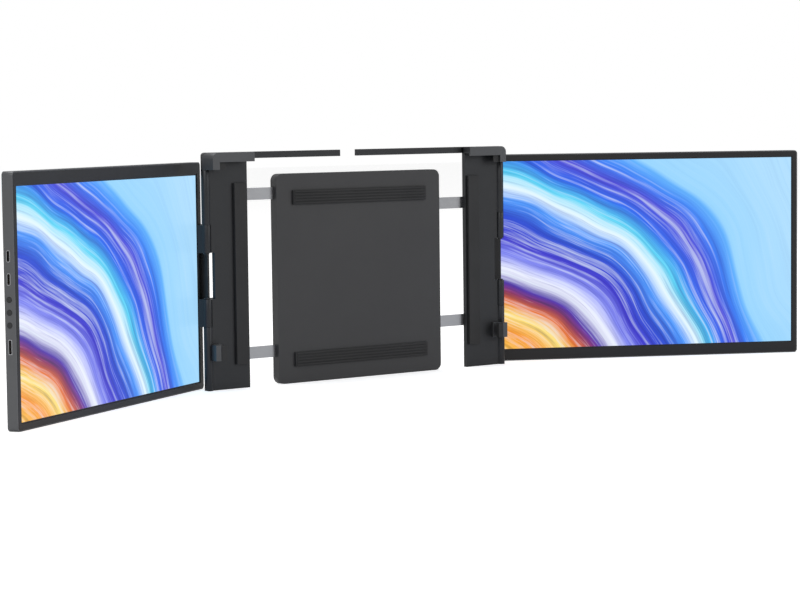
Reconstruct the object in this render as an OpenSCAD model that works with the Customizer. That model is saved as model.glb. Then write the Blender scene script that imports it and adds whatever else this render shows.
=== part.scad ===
// Laptop screen extender: two portable monitors hinged on a telescoping bracket that
// grips the lid of a laptop. Millimetres, +X right, +Y back, +Z up.
// The origin is midway between the two hinge axes, on the plane of the bottom edges.
// A monitor is drawn once, in its own frame: x from the hinge edge outwards, y from the
// front face backwards, z from the edge with the wide chin. The left one is turned over.

/* [Monitor] */
// Height of a monitor
monitor_h = 187; // [170:1:210]
// Thickness of a monitor
monitor_t = 9; // [8.8:0.1:12]
// Radius of the monitor's corners, seen from the front
monitor_corner = 3; // [2:0.5:8]
// Thickness of the rear cover's side walls
side_wall = 1.2; // [1:0.1:1.6]
// Thickness of the rear cover's back wall
back_wall = 1; // [0.8:0.1:1.2]

/* [Display] */
// Width of the picture
display_w = 276.4; // [240:0.1:320]
// Bezel beside the picture, at the sockets
outer_bezel = 4.8; // [4.5:0.1:9]
// Bezel beside the picture, at the hinge
hinge_bezel = 5.8; // [5.8:0.1:12]
// Wide bezel, the chin
chin_bezel = 9.8; // [6:0.1:16]
// Narrow bezel, opposite the chin
thin_bezel = 5.4; // [4:0.1:12]
// Thickness of the bezel frame
bezel_t = 1; // [0.8:0.1:1.2]
// Thickness of the display panel
panel_t = 0.9; // [0.7:0.1:1.1]
// Thickness of the backlight
backlight_t = 1.7; // [1.2:0.1:1.8]

/* [Sockets and buttons] */
// Depth of the sockets' and buttons' centre line behind the front face
port_y = 5.2; // [5.1:0.05:5.3]
// Height of the first USB-C socket above the chin edge
usb_first_z = 60.6; // [55:0.1:64]
// Distance between the two USB-C sockets
usb_pitch = 16.6; // [12:0.1:20]
// Height of the middle button above the chin edge
button_z = 101; // [98:0.1:104]
// Distance between neighbouring buttons
button_pitch = 9.2; // [8:0.1:9.8]
// Height of the mini-HDMI socket above the chin edge
hdmi_z = 125.9; // [121:0.1:130]
// Diameter of a button
button_d = 4.5; // [4:0.1:4.6]
// Travel of a button
button_travel = 0.5; // [0.3:0.1:0.5]

/* [Bracket] */
// Distance of each hinge axis from the middle
column_x = 155; // [154:0.1:160]
// Height of the bracket above the lid's top edge
bracket_cover = 6.3; // [6:0.1:8]
// Thickness of the bracket's plate
plate_t = 4; // [3.6:0.1:4]
// Distance from the hinge axis to the inner edge of the bracket's upright
upright_w = 40; // [36:0.5:48]
// Distance from the hinge axis to the inner edge of the window in the upright
window_w = 7.2; // [5:0.1:12]
// Height of the top arm
arm_h = 5.4; // [4:0.1:8]
// Distance of the left top arm's end from the middle
left_arm_end = 20; // [12:1:60]
// Distance of the right top arm's end from the middle
right_arm_end = -2; // [-2:1:60]
// Radius of the bracket's top corners
bracket_corner = 5; // [3:0.5:8]

/* [Hinge] */
// Radius of the hinge column
column_r = 3.5; // [3:0.1:3.6]
// Radius of a hinge pin
pin_r = 1.6; // [1.2:0.1:2]
// Height of the lowest moving knuckle's bottom
knuckle_low = 52.3; // [46:0.1:56]
// Length of a moving knuckle
knuckle_h = 23; // [16:0.5:26]
// Height of the open window between the knuckles
window_h = 38; // [30:0.5:44]
// Thickness of a friction washer
washer_t = 0.3; // [0.2:0.1:0.5]
// Distance of the left monitor's front behind its hinge axis when flat
left_front = 12.2; // [12.2:0.1:14]
// Distance of the right monitor's front behind its hinge axis when flat
right_front = 23; // [22:0.1:28]
// Distance that the left monitor reaches past its hinge axis
left_overlap = 14.8; // [8:0.1:16]
// Distance that the right monitor reaches past its hinge axis
right_overlap = 0.5; // [0.5:0.1:4]
// Thickness of the hinge arm's plate
arm_t = 3.2; // [2.5:0.1:3.4]

/* [Pose at rest] */
// Angle of the left monitor in front of the bracket's plane
left_rest = 30; // [0:1:90]
// Angle of the right monitor in front of the bracket's plane
right_rest = 27; // [0:1:90]

/* [Lid grip] */
// Width of the lid that the bracket holds as drawn
lid_w = 304.1; // [290:0.1:304.4]
// Thickness of the lid
lid_t = 4.5; // [4.2:0.1:5]
// Height of the lid's top edge above the bracket's bottom
lid_top = 188.7; // [180:0.1:212]
// Thickness of the rubber on the lips
lip_pad_t = 0.8; // [0.5:0.1:1]
// Thickness of the rubber strips behind the lid
back_pad_t = 2.5; // [2.5:0.1:2.8]
// Thickness of the hooks' and clips' walls
grip_wall = 1.8; // [1.5:0.1:1.8]
// Length of a corner hook along the lid's top edge
hook_w = 40.6; // [25:0.1:50]
// Distance that a corner hook's lip hangs over the lid
hook_lip = 1.5; // [1:0.1:1.6]
// Length of a corner hook down the lid's side
hook_drop = 7.7; // [5:0.1:15]
// Height of the lower clip's bottom
clip_z = 25; // [20:0.5:26]
// Height of the lower clip
clip_h = 13; // [8:0.5:13]
// Width of a corner hook's lip down the lid's side
side_lip = 6.5; // [4:0.1:8]
// Distance that a lower clip's lip hangs over the lid
clip_reach = 8; // [6:0.1:10]

/* [Slides] */
// Half the width of the centre frame
frame_half_w = 86; // [80:1:90]
// Bottom of the centre frame
frame_low = 0; // [0:1:14]
// Distance from the lid's top edge down to the top of the centre frame
frame_drop = 12.7; // [9:0.1:14]
// Depth of the centre frame behind the plate's front
frame_depth = 7; // [7:0.1:9]
// Height of a slide bar
bar_h = 10; // [8:0.5:10]
// Thickness of a slide bar
bar_t = 2.4; // [2:0.1:2.6]
// Length of a slide bar
bar_l = 138; // [120:1:140]
// Distances of the left half's bars from the centre frame's bottom and top
left_bar_in = [28, 16];
// Distances of the right half's bars from the centre frame's bottom and top
right_bar_in = [42, 30];
// Length of a slide guide
guide_l = 20; // [12:1:30]

/* [Kickstand] */
// Width of the kickstand
stand_w = 90; // [60:1:92]
// Height of the kickstand's hinge above the bottom
stand_top = 118; // [90:1:126]
// Height of the kickstand's free edge above the bottom
stand_low = 8; // [6:1:30]
// Thickness of the kickstand
stand_t = 2.8; // [2.4:0.1:3]

/* [Hidden] */
$fn = 48;

// Finishes
shell_grey = "#6b6d70";
bezel_black = "#2b2c2e";
bracket_grey = "#3a3b3d";
hook_grey = "#5d5f62";
steel = "#a9abad";
rubber_black = "#191919";
board_green = "#1f5a3a";
glass_blue = "#5f9fe8";
film_white = "#e8eaec";
plastic_black = "#202124";

// Clearances
cut = 1;              // how far a cutting tool reaches past the face that it opens
running = 0.05;       // radial, a pin in its knuckle
seat = 0.02;          // radial, a pin or screw in the piece that holds it
slip = 0.15;          // a bar in its guide
port_gap = 0.1;       // a socket in its opening
button_gap = 0.1;     // a button in its opening
lid_gap = 0.2;        // the lid in the grip
joint_gap = 0.05;     // faces that turn or slide past each other
flat_gap = 0.1;       // one sheet beside the next

// The monitor's layers
monitor_w = hinge_bezel + display_w + outer_bezel;
display_h = monitor_h - chin_bezel - thin_bezel;
rim_y = 0.2;                                  // the rear cover's rim, behind the front face
rim_wall = side_wall - 0.35;                  // the rim round the bezel
panel_lap = 1.5;                              // the panel under the bezel
backlight_back = bezel_t + panel_t + backlight_t;
inner_back = monitor_t - back_wall;
port_thick = 3;                               // a socket across the thickness
board_front = port_y + port_thick / 2;
board_t = 1;
board_w = 58;
board_low = 40;
board_high = 140;

// Sockets and buttons
usb_l = 8.8;
usb_depth = 7.2;
usb_shell = 0.3;
usb_tongue = [0.7, 6.6];
hdmi_l = 10.8;
hdmi_depth = 7.6;
hdmi_tongue = [0.6, 8.2];
hdmi_corner = 0.7;
button_r = button_d / 2;
button_lip = 0.45;                            // the flange that keeps a button in
button_flange_t = 0.85;
button_proud = 0.3;
button_stem_r = 1;
button_stem_l = 2.4;
board_out = monitor_w - side_wall - joint_gap - button_flange_t - button_travel - flat_gap;
board_x = board_out - board_w;
dish_r = 4;                                   // the hollow in a button's face
dish_depth = 0.2;
switch_size = [4.3, 3, 5];
switch_x = board_out - button_stem_l;

// Case screws, the rear cover's bosses and the backlight's posts
boss_r = 2.9;
boss_front = inner_back - 1;
post_r = 2.4;
post_seat = 0.3;                              // what is left under a post's hole
case_screw_r = 0.9;
case_head_r = 1.9;
case_head_t = 1;
case_inset = 10;
case_screw_x = [case_inset, monitor_w / 2, monitor_w - case_inset - 2];
case_screw_z = [case_inset + 2, monitor_h - case_inset];

// The arm's seat inside the hinge-side wall, and its screws
arm_seat_t = hinge_bezel - panel_lap - side_wall - flat_gap;
arm_seat_half = 45;
arm_screw_r = 1.2;
arm_head_r = 2.2;
arm_head_t = 1.2;
arm_screw_z = [for (d = [-30, -12, 12, 30]) monitor_h / 2 + d];

// The hinge column, from the bottom up
bracket_h = lid_top + bracket_cover;
column_out = column_x + column_r;
knuckle_low_top = knuckle_low + knuckle_h;
knuckle_high = knuckle_low_top + window_h;
knuckle_high_top = knuckle_high + knuckle_h;
pin_depth = 12;                               // a pin in the fixed section
pin_head_r = 2.4;
pin_head_t = 1;
plate_front = plate_t - 5;                    // the back face stays where the bars lie
plate_back = plate_front + plate_t;
bar_front = plate_back;
bar_back = bar_front + bar_t;
bar_end_x = column_x - 27;                    // a bar's outer end, on the upright
knuckle_room = column_r + 0.5;                // the upright's edge beside a moving knuckle
leaf_front = plate_back + 0.8;                // the arm's leaf passes behind the upright
leaf_t = 3;
lid_room = 1;                                 // keeps a folded arm off the lid's side edge
arm_near = 5.2;                               // the arm's plate starts in front of the monitor
arm_inset = 1.3;                              // and ends before the monitor's back

// The grip: the lid lies in front of the pads
lid_back = plate_front - back_pad_t;
lid_front = lid_back - lid_t;
lip_back = lid_front - lid_gap - lip_pad_t;
lip_front = lip_back - grip_wall;
grip_in = lid_w / 2 + lid_gap;
grip_out = grip_in + grip_wall;
clip_lip_in = grip_in - clip_reach;
hook_pad_low = lid_top + flat_gap;
hook_under = hook_pad_low + lip_pad_t;
arm_low = bracket_h - arm_h;
clip_root_in = grip_out - 10;                 // the clip's root beside the column
clip_screw_x = grip_out - 6;
clip_seat = plate_back - 2;                   // the skin behind the clip's root
clip_thread_front = lid_back + 1;             // the front ends of the screw holes
bar_thread_front = plate_front + 1;
hook_thread = 4;                              // a screw's length in the hook
hook_screw_x = [grip_out - hook_w + 6, grip_out - 12];
recess_in = grip_out - 43;                    // the dark recess in the top arm's front
recess_w = 10;
recess_depth = 1.5;
recess_rim = 0.6;
column_foot_r = 2;
boot_t = 0.5;                                 // the clip's rubber boot
boot_w = 4.7;

// The centre frame
frame_high = lid_top - frame_drop;
left_bar_z = [frame_low + left_bar_in[0], frame_high - left_bar_in[1]];
right_bar_z = [frame_low + right_bar_in[0], frame_high - right_bar_in[1]];
frame_front = plate_front;
frame_back = frame_front + frame_depth;
frame_wall = 2;
frame_floor = 1.8;
frame_corner = 6;
cover_t = 1.6;
cover_back = frame_back + cover_t;
guide_margin = 3;
frame_boss_r = 3;
frame_screw_r = 1.2;
frame_head_r = 2.2;
frame_screw_in = 4;                           // from the frame's top and bottom
frame_screw_x = frame_half_w - 36;
frame_side_screw_x = frame_half_w - 11;
frame_screws = [for (x = [-1, 1], z = [frame_low + frame_screw_in, frame_high - frame_screw_in])
    [x * frame_screw_x, z], for (x = [-1, 1]) [x * frame_side_screw_x, (frame_low + frame_high) / 2]];

// The kickstand
stand_gap = 1;
stand_r = 2.8;
stand_y = cover_back + stand_r + 0.2;
stand_lug_r = 3;
stand_lug_w = 6;
stand_pin_r = 1.5;
stand_pin_in = 9;
foot_h = 4;

// A box from its low corner to its high corner
module block(low, high) {
    translate(low) cube(high - low);
}

// An outline in X and Z, drawn as x and y, given its depth along Y
module along_y(from, to) {
    translate([0, to, 0]) rotate([90, 0, 0]) linear_extrude(to - from) children();
}

// An outline in Y and Z, drawn as x and y, given its length along X
module along_x(from, to) {
    translate([from, 0, 0]) rotate([90, 0, 90]) linear_extrude(to - from) children();
}

// A rectangle with round corners, from its low corner
module rounded(w, h, r) {
    translate([r, 0]) square([w - 2 * r, h]);
    translate([0, r]) square([w, h - 2 * r]);
    for (x = [r, w - r], y = [r, h - r]) translate([x, y]) circle(r);
}

// A slot with round ends, its long side along y
module stadium(w, l) {
    translate([-w / 2, -(l - w) / 2]) square([w, l - w]);
    for (y = [-1, 1]) translate([0, y * (l - w) / 2]) circle(w / 2);
}

// The right monitor's place, and the left one's, turned over
module at_right() {
    translate([column_x, 0, 0]) rotate([0, 0, -right_rest])
        translate([-right_overlap, right_front, 0]) children();
}
module at_left() {
    translate([-column_x, 0, 0]) rotate([0, 0, left_rest])
        translate([left_overlap, left_front, monitor_h]) rotate([0, 180, 0]) children();
}

// ---- The monitor ----

module rear_cover() {
    color(shell_grey) difference() {
        union() {
            difference() {
                along_y(rim_y, monitor_t) rounded(monitor_w, monitor_h, monitor_corner);
                along_y(rim_y - cut, bezel_t) translate([rim_wall, rim_wall])
                    rounded(monitor_w - 2 * rim_wall, monitor_h - 2 * rim_wall,
                        monitor_corner - rim_wall);
                along_y(0, inner_back) translate([side_wall, side_wall])
                    rounded(monitor_w - 2 * side_wall, monitor_h - 2 * side_wall,
                        monitor_corner - side_wall);
            }
            for (x = case_screw_x, z = case_screw_z)
                along_y(boss_front, inner_back) translate([x, z]) circle(boss_r);
            block([side_wall, bezel_t + panel_t, monitor_h / 2 - arm_seat_half],
                [side_wall + arm_seat_t, inner_back, monitor_h / 2 + arm_seat_half]);
        }
        for (x = case_screw_x, z = case_screw_z) {
            along_y(boss_front - cut, monitor_t) translate([x, z])
                circle(case_screw_r + seat);
            along_y(monitor_t - case_head_t - flat_gap, monitor_t + cut)
                translate([x, z]) circle(case_head_r + port_gap);
        }
        for (z = arm_screw_z)
            along_x(-cut, side_wall + arm_seat_t + cut)
                translate([monitor_t / 2, z]) circle(arm_screw_r + seat);
        outer_openings();
    }
}

// The openings in the outer side wall
module outer_openings() {
    along_x(monitor_w - side_wall - cut, monitor_w + cut) {
        for (i = [0, 1]) translate([port_y, usb_first_z + i * usb_pitch])
            stadium(port_thick + 2 * port_gap, usb_l + 2 * port_gap);
        for (i = [-1, 0, 1]) translate([port_y, button_z + i * button_pitch])
            circle(button_r + button_gap);
        translate([port_y, hdmi_z]) hdmi_outline(port_gap);
    }
}

module hdmi_outline(grow) {
    w = port_thick + 2 * grow;
    l = hdmi_l + 2 * grow;
    translate([-w / 2, -l / 2]) rounded(w, l, hdmi_corner);
}

module bezel() {
    inset = rim_wall + joint_gap;
    color(bezel_black) along_y(0, bezel_t) difference() {
        translate([inset, inset])
            rounded(monitor_w - 2 * inset, monitor_h - 2 * inset, monitor_corner - inset);
        translate([hinge_bezel, chin_bezel]) square([display_w, display_h]);
    }
}

// A sheet as large as the picture and what lies under the bezel
module picture_sheet(from, to) {
    along_y(from, to) translate([hinge_bezel - panel_lap, chin_bezel - panel_lap])
        square([display_w + 2 * panel_lap, display_h + 2 * panel_lap]);
}

module display_panel() {
    color(glass_blue) picture_sheet(bezel_t, bezel_t + panel_t);
}

module backlight() {
    color(film_white) {
        picture_sheet(bezel_t + panel_t, backlight_back);
        for (x = case_screw_x, z = case_screw_z) translate([x, 0, z])
            difference() {
                along_y(backlight_back - cut, boss_front - joint_gap) circle(post_r);
                along_y(backlight_back + post_seat, boss_front) circle(case_screw_r + seat);
            }
    }
}

module driver_board() {
    chip = [14, 1.4, 14];
    connector = [30, 1.6, 5];
    chip_in = [30, 64];
    can_in = [22, 44];
    can_pitch = 9;
    can_r = 2.4;
    can_h = 2.2;
    color(board_green) {
        block([board_x, board_front, board_low],
            [board_x + board_w, board_front + board_t, board_high]);
        for (z = chip_in)
            translate([board_x + 22, board_front - chip[1], board_low + z]) cube(chip);
        translate([board_x + 10, board_front - connector[1], board_high - 14]) cube(connector);
        for (z = [board_low + can_in[0] : can_pitch : board_high - can_in[1]])
            along_y(board_front - can_h, board_front) translate([board_x + 10, z]) circle(can_r);
    }
}

module usb_c_ports() {
    color(steel) for (i = [0, 1]) translate([0, port_y, usb_first_z + i * usb_pitch]) {
        back = monitor_w - usb_depth;
        along_x(back, back + usb_shell * 2) stadium(port_thick, usb_l);
        along_x(back, monitor_w - flat_gap) difference() {
            stadium(port_thick, usb_l);
            stadium(port_thick - 2 * usb_shell, usb_l - 2 * usb_shell);
        }
        along_x(back, monitor_w - usb_shell * 4) square(usb_tongue, center = true);
    }
}

module mini_hdmi_port() {
    back = monitor_w - hdmi_depth;
    color(steel) translate([0, port_y, hdmi_z]) {
        along_x(back, back + usb_shell * 2) hdmi_outline(0);
        along_x(back, monitor_w - flat_gap) difference() {
            hdmi_outline(0);
            hdmi_outline(-usb_shell);
        }
        along_x(back, monitor_w - usb_shell * 4) square(hdmi_tongue, center = true);
    }
}

// The button in place -1, 0 or 1 of the row
module button(place) {
    flange_out = monitor_w - side_wall - joint_gap;
    flange_in = flange_out - button_flange_t;
    color(plastic_black) translate([0, port_y, button_z + place * button_pitch]) difference() {
        union() {
            along_x(flange_out, monitor_w + button_proud) circle(button_r);
            along_x(flange_in, flange_out) circle(button_r + button_lip);
            along_x(flange_in - button_stem_l, flange_in) circle(button_stem_r);
        }
        translate([monitor_w + button_proud + dish_r - dish_depth, 0, 0]) sphere(dish_r);
    }
}

module button_switches() {
    color(plastic_black) for (i = [-1, 0, 1])
        translate([switch_x - switch_size[0], board_front - switch_size[1],
            button_z + i * button_pitch - switch_size[2] / 2]) cube(switch_size);
}

// The flat cable from the panel's chin edge to the board
module panel_ribbon() {
    ribbon_w = 30;
    ribbon_t = 0.3;
    start_z = chin_bezel + 4;
    turn_z = board_low - 3;
    end_z = board_low + 8;
    color("#b88a3a") along_x(board_x + 14, board_x + 14 + ribbon_w) {
        translate([backlight_back, start_z]) square([ribbon_t, turn_z - start_z]);
        translate([backlight_back, turn_z]) square([board_front - backlight_back, ribbon_t]);
        translate([board_front - ribbon_t, turn_z]) square([ribbon_t, end_z - turn_z]);
    }
}

module case_screws() {
    color(steel) for (x = case_screw_x, z = case_screw_z) translate([x, 0, z]) difference() {
        union() {
            along_y(backlight_back + post_seat + flat_gap, monitor_t - case_head_t)
                circle(case_screw_r);
            along_y(monitor_t - case_head_t - flat_gap, monitor_t - flat_gap) circle(case_head_r);
        }
        driver_cross(monitor_t - flat_gap, case_head_r);
    }
}

// The cross cut in a screw's head, which ends at this depth
module driver_cross(top, head_r) {
    arm = 0.5;
    for (turn = [0, 90]) along_y(top - arm, top + cut) rotate(turn)
        square([head_r * 1.2, arm], center = true);
}

// ---- The hinges: drawn flat, u outwards as x and v backwards as y ----

// The arm's plate on the monitor's side wall, at edge, between two depths
module arm_section(edge, near, far) {
    translate([edge - arm_t, near]) square([arm_t, far - near]);
}

// A knuckle's section, with the leaf that joins it to the plate behind the upright
module knuckle_section(edge) {
    circle(column_r);
    translate([-column_r, 0]) square([2 * column_r - lid_room, leaf_front + leaf_t]);
    translate([edge - arm_t, leaf_front])
        square([column_r - lid_room - edge + arm_t, leaf_t]);
}

// One side's hinge arm, with the monitor's edge and front set off from the axis
module hinge_arm(edge, front) {
    near = front - arm_near;
    far = front + monitor_t - arm_inset;
    low = knuckle_low + washer_t + joint_gap;
    high = knuckle_high_top - washer_t - joint_gap;
    color(bracket_grey) difference() {
        union() {
            translate([0, 0, low]) linear_extrude(high - low) arm_section(edge, near, far);
            for (span = [[low, knuckle_low_top], [knuckle_high, high]])
                translate([0, 0, span[0]]) linear_extrude(span[1] - span[0]) {
                    knuckle_section(edge);
                    arm_section(edge, leaf_front, far);
                }
        }
        translate([0, 0, low - cut]) cylinder(r = pin_r + running, h = high - low + 2 * cut);
        translate([edge, front, 0]) arm_screw_holes();
    }
}

module arm_screw_holes() {
    for (z = arm_screw_z) {
        along_x(-arm_t - cut, cut) translate([monitor_t / 2, z]) circle(arm_screw_r + seat);
        along_x(-arm_t - cut, -arm_t + arm_head_t + flat_gap)
            translate([monitor_t / 2, z]) circle(arm_head_r + port_gap);
    }
}

// The screws that hold a hinge arm, from the hinge edge at x = 0
module arm_screws() {
    head = -arm_t + flat_gap;
    color(steel) for (z = arm_screw_z) difference() {
        union() {
            along_x(head, side_wall + arm_seat_t - flat_gap)
                translate([monitor_t / 2, z]) circle(arm_screw_r);
            along_x(head, head + arm_head_t) translate([monitor_t / 2, z]) circle(arm_head_r);
        }
        for (turn = [0, 90]) along_x(head - cut, head + 0.5) translate([monitor_t / 2, z])
            rotate(turn) square([arm_head_r * 1.2, 0.5], center = true);
    }
}

// ---- One bracket half, drawn for the right side ----

module bracket(arm_end, bar_heights) {
    inner = column_x - upright_w;
    color(bracket_grey) difference() {
        intersection() {
            union() {
                along_y(plate_front, plate_back) {
                    difference() {
                        translate([inner, 0]) square([column_x - inner, bracket_h]);
                        translate([column_x - knuckle_room, knuckle_low])
                            square([knuckle_room + cut, knuckle_high_top - knuckle_low]);
                        translate([column_x - window_w, knuckle_low_top])
                            square([window_w + cut, window_h]);
                    }
                    translate([arm_end, arm_low]) square([column_x - arm_end, arm_h]);
                }
                column_section(0, knuckle_low);
                column_section(knuckle_high_top, bracket_h);
            }
            along_y(-column_r - cut, column_r + cut) bracket_envelope(arm_end, column_out);
        }
        for (z = [knuckle_low - pin_depth, knuckle_high_top - cut])
            translate([column_x, 0, z]) cylinder(r = pin_r + seat, h = pin_depth + cut);
        block([clip_root_in - flat_gap, -column_r - cut, clip_z - flat_gap],
            [grip_out + flat_gap, clip_seat, clip_z + clip_h + flat_gap]);
        block([column_x - column_r - cut, -column_r - cut, lid_top - hook_drop - flat_gap],
            [column_out + cut, plate_front, bracket_h + cut]);
        block([recess_in, plate_front - cut, arm_low + recess_rim],
            [recess_in + recess_w, plate_front + recess_depth, bracket_h - recess_rim]);
        bar_screw_places(bar_heights) circle(arm_screw_r + seat);
        clip_screw_hole();
        hook_screw_places() circle(arm_screw_r + seat);
    }
}

module column_section(from, to) {
    translate([column_x, 0, from]) cylinder(r = column_r, h = to - from);
}

// The outline that rounds the outer corners
module bracket_envelope(arm_end, outer) {
    translate([arm_end - cut, 0]) square([outer - arm_end + cut - bracket_corner, bracket_h]);
    translate([arm_end, column_foot_r])
        square([outer - arm_end, bracket_h - bracket_corner - column_foot_r]);
    translate([outer - bracket_corner, bracket_h - bracket_corner]) circle(bracket_corner);
    translate([outer - column_foot_r, column_foot_r]) circle(column_foot_r);
    translate([outer - bracket_corner, 0]) square([bracket_corner - column_foot_r, column_foot_r]);
}

// The hook over the lid's top corner, in front of the bracket's plate. Its outer side
// slants back from the lip to the column.
module corner_hook() {
    left = grip_out - hook_w;
    back = plate_front - seat;
    low = lid_top - hook_drop;
    color(hook_grey) difference() {
        union() {
            block([left, lip_front, hook_under], [grip_out, back, bracket_h]);
            block([left, lip_front, lid_top - hook_lip], [grip_out, lip_back, bracket_h]);
            block([grip_out - side_lip, lip_front, low], [grip_out, lip_back, bracket_h]);
            translate([0, 0, low]) linear_extrude(bracket_h - low) polygon([[grip_in, lip_front],
                [grip_out, lip_front], [column_out, back], [grip_in, back]]);
        }
        hook_corner_cut();
        hook_screw_places() circle(arm_screw_r + seat);
    }
}

// What rounds the top edge of the hook's slanting side
module hook_corner_cut() {
    slant = atan2(column_out - grip_out, plate_front - lip_front);
    translate([grip_out, lip_front, bracket_h - bracket_corner]) rotate([0, 0, -slant])
        along_y(-bracket_corner, 4 * bracket_corner) translate([-bracket_corner, 0])
            difference() {
                square(bracket_corner + cut);
                circle(bracket_corner);
            }
}

// The clip on the lid's side edge, seated in a recess of the column
module lower_clip() {
    root_front = lid_back + lid_gap;
    color(hook_grey) difference() {
        translate([0, 0, clip_z]) linear_extrude(clip_h) polygon([
            [grip_out, lip_front], [clip_lip_in, lip_front], [clip_lip_in, lip_back],
            [grip_in, lip_back], [grip_in, root_front], [clip_root_in, root_front],
            [clip_root_in, clip_seat], [grip_out, clip_seat]]);
        clip_screw_hole();
    }
}

module clip_screw_hole() {
    along_y(clip_thread_front, plate_back + cut)
        translate([clip_screw_x, clip_z + clip_h / 2]) circle(arm_screw_r + seat);
}

// The rubber of one half: behind the lid, in the hook and in the clip
module grip_pads() {
    strip_x = column_x - upright_w + 2;
    strip_w = 12;
    strip_end = 20;
    hook_left = grip_out - hook_w + grip_wall;
    color(rubber_black) {
        block([strip_x, lid_back, strip_end],
            [strip_x + strip_w, plate_front, arm_low - strip_end]);
        block([hook_left, lid_front - lid_gap, hook_pad_low],
            [grip_in - lid_gap, plate_front, hook_under]);
        block([hook_left, lip_back, lid_top - hook_lip],
            [grip_in - lid_gap, lid_front - lid_gap, hook_under]);
        block([grip_out - 2 * side_lip, lip_back, lid_top - hook_drop],
            [grip_in - lid_gap, lid_front - lid_gap, hook_under]);
        translate([0, 0, clip_z]) linear_extrude(clip_h) difference() {
            union() {
                translate([clip_lip_in - boot_t, lip_back])
                    square([grip_in - clip_lip_in + boot_t, lip_pad_t]);
                translate([clip_lip_in - boot_t, lip_front - boot_t])
                    square([boot_w + boot_t, lip_back - lip_front + boot_t + lip_pad_t]);
            }
            translate([clip_lip_in, lip_front]) square([boot_w + cut, grip_wall]);
        }
    }
}

module slide_bars(heights) {
    color(steel) difference() {
        for (z = heights) block([bar_end_x - bar_l, bar_front, z - bar_h / 2],
            [bar_end_x, bar_back, z + bar_h / 2]);
        bar_screw_places(heights) circle(arm_screw_r + seat);
    }
}

// Two screws through each bar's end into the upright
module bar_screw_places(heights) {
    for (z = heights, d = [-1, 1])
        along_y(bar_thread_front, bar_back + cut)
            translate([bar_end_x - bar_h / 2, z + d * bar_h / 4]) children();
}

// Two screws from behind, through the top arm into the hook
module hook_screw_places() {
    for (x = hook_screw_x)
        along_y(plate_front - hook_thread, plate_back + cut)
            translate([x, bracket_h - arm_h / 2]) children();
}

// A screw with a round head on the face at y = top
module back_screw(x, z, front, top) {
    head_t = 1.1;
    translate([x, 0, z]) difference() {
        union() {
            along_y(front, top) circle(arm_screw_r);
            along_y(top, top + head_t) circle(arm_head_r);
        }
        driver_cross(top + head_t, arm_head_r);
    }
}

module bracket_screws(heights) {
    color(steel) {
        for (z = heights, d = [-1, 1])
            back_screw(bar_end_x - bar_h / 2, z + d * bar_h / 4, bar_thread_front + 2 * flat_gap,
                bar_back);
        for (x = hook_screw_x)
            back_screw(x, bracket_h - arm_h / 2, plate_front - hook_thread + 2 * flat_gap,
                plate_back);
        back_screw(clip_screw_x, clip_z + clip_h / 2, clip_thread_front + 2 * flat_gap,
            plate_back);
    }
}

// The two pins of one column
module hinge_pins() {
    color(steel) translate([column_x, 0, 0]) {
        translate([0, 0, knuckle_low - pin_depth + flat_gap])
            cylinder(r = pin_r, h = pin_depth + knuckle_h);
        translate([0, 0, knuckle_low_top + flat_gap])
            cylinder(r = pin_head_r, h = pin_head_t);
        translate([0, 0, knuckle_high - flat_gap])
            cylinder(r = pin_r, h = knuckle_h + pin_depth);
        translate([0, 0, knuckle_high - flat_gap - pin_head_t])
            cylinder(r = pin_head_r, h = pin_head_t);
    }
}

// A washer between each fixed section and its moving knuckle
module hinge_washers() {
    color(steel) for (z = [knuckle_low, knuckle_high_top - washer_t])
        translate([column_x, 0, z]) difference() {
            cylinder(r = column_r - flat_gap, h = washer_t);
            translate([0, 0, -cut]) cylinder(r = pin_r + seat, h = washer_t + 2 * cut);
        }
}

// ---- The centre ----

module frame_outline(inset) {
    translate([inset - frame_half_w, frame_low + inset])
        rounded(2 * (frame_half_w - inset), frame_high - frame_low - 2 * inset,
            frame_corner - inset);
}

module centre_frame() {
    floor_y = frame_front + frame_floor;
    color(bracket_grey) difference() {
        union() {
            difference() {
                along_y(frame_front, frame_back) frame_outline(0);
                along_y(floor_y, frame_back + cut) frame_outline(frame_wall);
            }
            for (p = frame_screws) along_y(floor_y, frame_back) translate(p) circle(frame_boss_r);
        }
        for (p = frame_screws) along_y(floor_y, frame_back + cut) translate(p)
            circle(frame_screw_r + seat);
        bar_slots(-1, left_bar_z);
        bar_slots(1, right_bar_z);
    }
}

// The slots where the bars of one side come in
module bar_slots(side, heights) {
    x = side * (frame_half_w - frame_wall / 2);
    for (z = heights) block([x - frame_wall, bar_front - slip, z - bar_h / 2 - slip],
        [x + frame_wall, bar_back + slip, z + bar_h / 2 + slip]);
}

module centre_cover() {
    color(bracket_grey) difference() {
        union() {
            along_y(frame_back, cover_back) frame_outline(0);
            for (side = [-1, 1]) {
                x = side * (stand_w / 2 + joint_gap * 4 + stand_lug_w / 2);
                along_x(x - stand_lug_w / 2, x + stand_lug_w / 2) {
                    translate([stand_y, stand_top]) circle(stand_lug_r);
                    translate([cover_back - cover_t / 2, stand_top - stand_lug_r])
                        square([stand_y - cover_back + cover_t / 2, 2 * stand_lug_r]);
                }
            }
        }
        for (p = frame_screws) {
            along_y(frame_back - cut, cover_back + cut) translate(p) circle(frame_screw_r + seat);
            along_y(frame_back + cover_t / 2, cover_back + cut) translate(p)
                circle(frame_head_r + port_gap);
        }
        along_x(-frame_half_w, frame_half_w) translate([stand_y, stand_top])
            circle(stand_pin_r + seat);
    }
}

module cover_screws() {
    head_y = frame_back + cover_t / 2;
    color(steel) for (p = frame_screws) translate([p[0], 0, p[1]]) difference() {
        union() {
            along_y(frame_front + frame_floor + flat_gap, head_y) circle(frame_screw_r);
            along_y(head_y, cover_back - flat_gap) circle(frame_head_r);
        }
        driver_cross(cover_back - flat_gap, frame_head_r);
    }
}

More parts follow.
